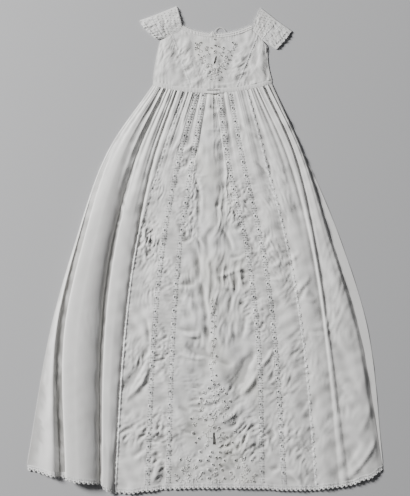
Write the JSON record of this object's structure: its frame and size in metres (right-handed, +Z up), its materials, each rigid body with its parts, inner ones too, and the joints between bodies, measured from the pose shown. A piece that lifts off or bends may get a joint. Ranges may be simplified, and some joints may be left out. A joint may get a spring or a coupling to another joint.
{
  "type": "christening gown",
  "caption": "Long white cotton christening gown laid flat, with short frilled sleeves, whitework front panels and a wide gathered skirt ending in a scalloped hem.",
  "frame": {"origin": "middle of the outline seen from above, on the surface that the gown lies on", "axes": "+Y from the hem towards the neck, the gown's longest extent; +Z up, out of the gown's front, its shortest extent"},
  "size_m": [0.746, 1.0224, 0.0181],
  "materials": {
    "cotton_lawn": "fine plain weave, matt",
    "whitework": "embroidered cotton with eyelets, matt",
    "edging": "openwork cotton edging, matt",
    "drawstring": "cotton tape and thread, matt"
  },
  "bodies": {
    "root": {"skirt_back": "cotton_lawn", "skirt_side_left": "cotton_lawn", "skirt_side_right": "cotton_lawn", "skirt_gore_left": "cotton_lawn", "skirt_gore_right": "cotton_lawn", "skirt_strip_left": "cotton_lawn", "skirt_strip_right": "cotton_lawn", "waistband_front": "cotton_lawn", "waistband_back_left": "cotton_lawn", "waistband_back_right": "cotton_lawn", "bodice_side_left": "cotton_lawn", "bodice_side_right": "cotton_lawn", "bodice_robing_left": "cotton_lawn", "bodice_robing_right": "cotton_lawn", "bodice_back_left": "cotton_lawn", "bodice_back_right": "cotton_lawn", "neckband_front": "cotton_lawn", "neckband_back_left": "cotton_lawn", "neckband_back_right": "cotton_lawn", "sleeve_left": "cotton_lawn", "sleeve_right": "cotton_lawn", "skirt_gore_centre": "whitework", "bodice_stomacher": "whitework", "insertion_left_outer": "edging", "insertion_left_inner": "edging", "insertion_right_inner": "edging", "insertion_right_outer": "edging", "skirt_edging_left": "edging", "skirt_edging_right": "edging", "bodice_edging_left": "edging", "bodice_edging_right": "edging", "hem_edging_front": "edging", "hem_edging_back": "edging", "neck_lace_front": "edging", "sleeve_frill_left": "edging", "sleeve_frill_right": "edging", "neck_drawstring": "drawstring", "neck_tape_tab": "drawstring"}
  },
  "joints": []
}
